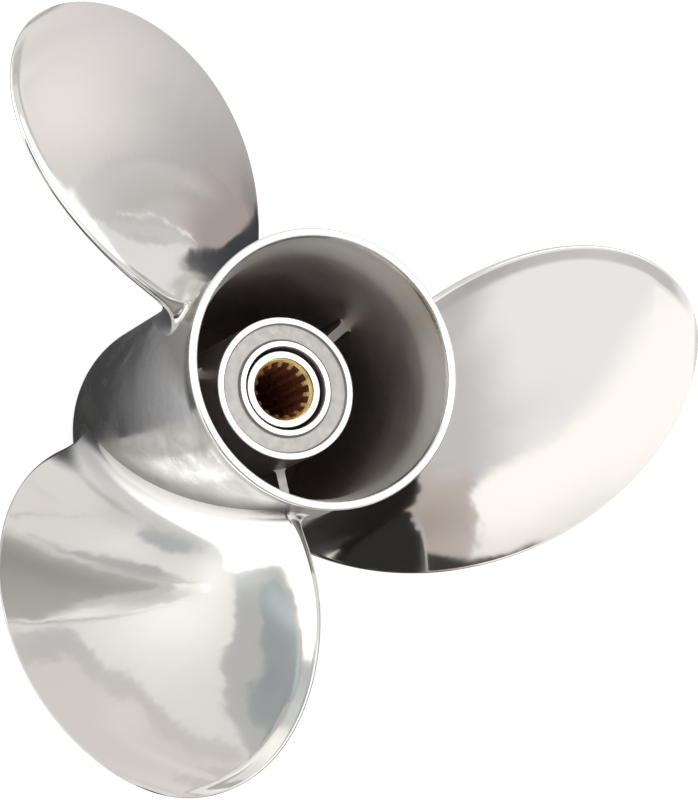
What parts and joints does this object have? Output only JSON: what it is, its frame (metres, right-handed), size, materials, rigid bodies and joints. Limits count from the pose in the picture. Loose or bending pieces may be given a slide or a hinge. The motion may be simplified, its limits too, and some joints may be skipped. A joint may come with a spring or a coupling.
{
  "type": "outboard boat propeller",
  "caption": "Polished steel boat propeller with raked, cupped blades on a flared through-hub exhaust barrel, ribbed to an inner hub with a cushioned splined bush.",
  "frame": {"origin": "on the shaft axis, in the plane of the barrel's forward rim", "axes": "+Z along the shaft axis towards the aft (exhaust) end; +Y along the blade line of blade_1"},
  "size_m": [0.3458, 0.3239, 0.1665],
  "materials": {
    "polished_steel": "mirror polished stainless",
    "satin_steel": "satin, as blasted inside the casting",
    "machined_steel": "turned",
    "brass": "broached",
    "rubber": "moulded"
  },
  "bodies": {
    "root": {"outer_barrel": "polished_steel", "blade_1": "polished_steel", "blade_2": "polished_steel", "blade_3": "polished_steel", "inner_hub": "satin_steel", "rib_1": "satin_steel", "rib_2": "satin_steel", "rib_3": "satin_steel", "rubber_bushing": "rubber", "drive_sleeve": "machined_steel", "splined_bush": "brass"}
  },
  "joints": []
}
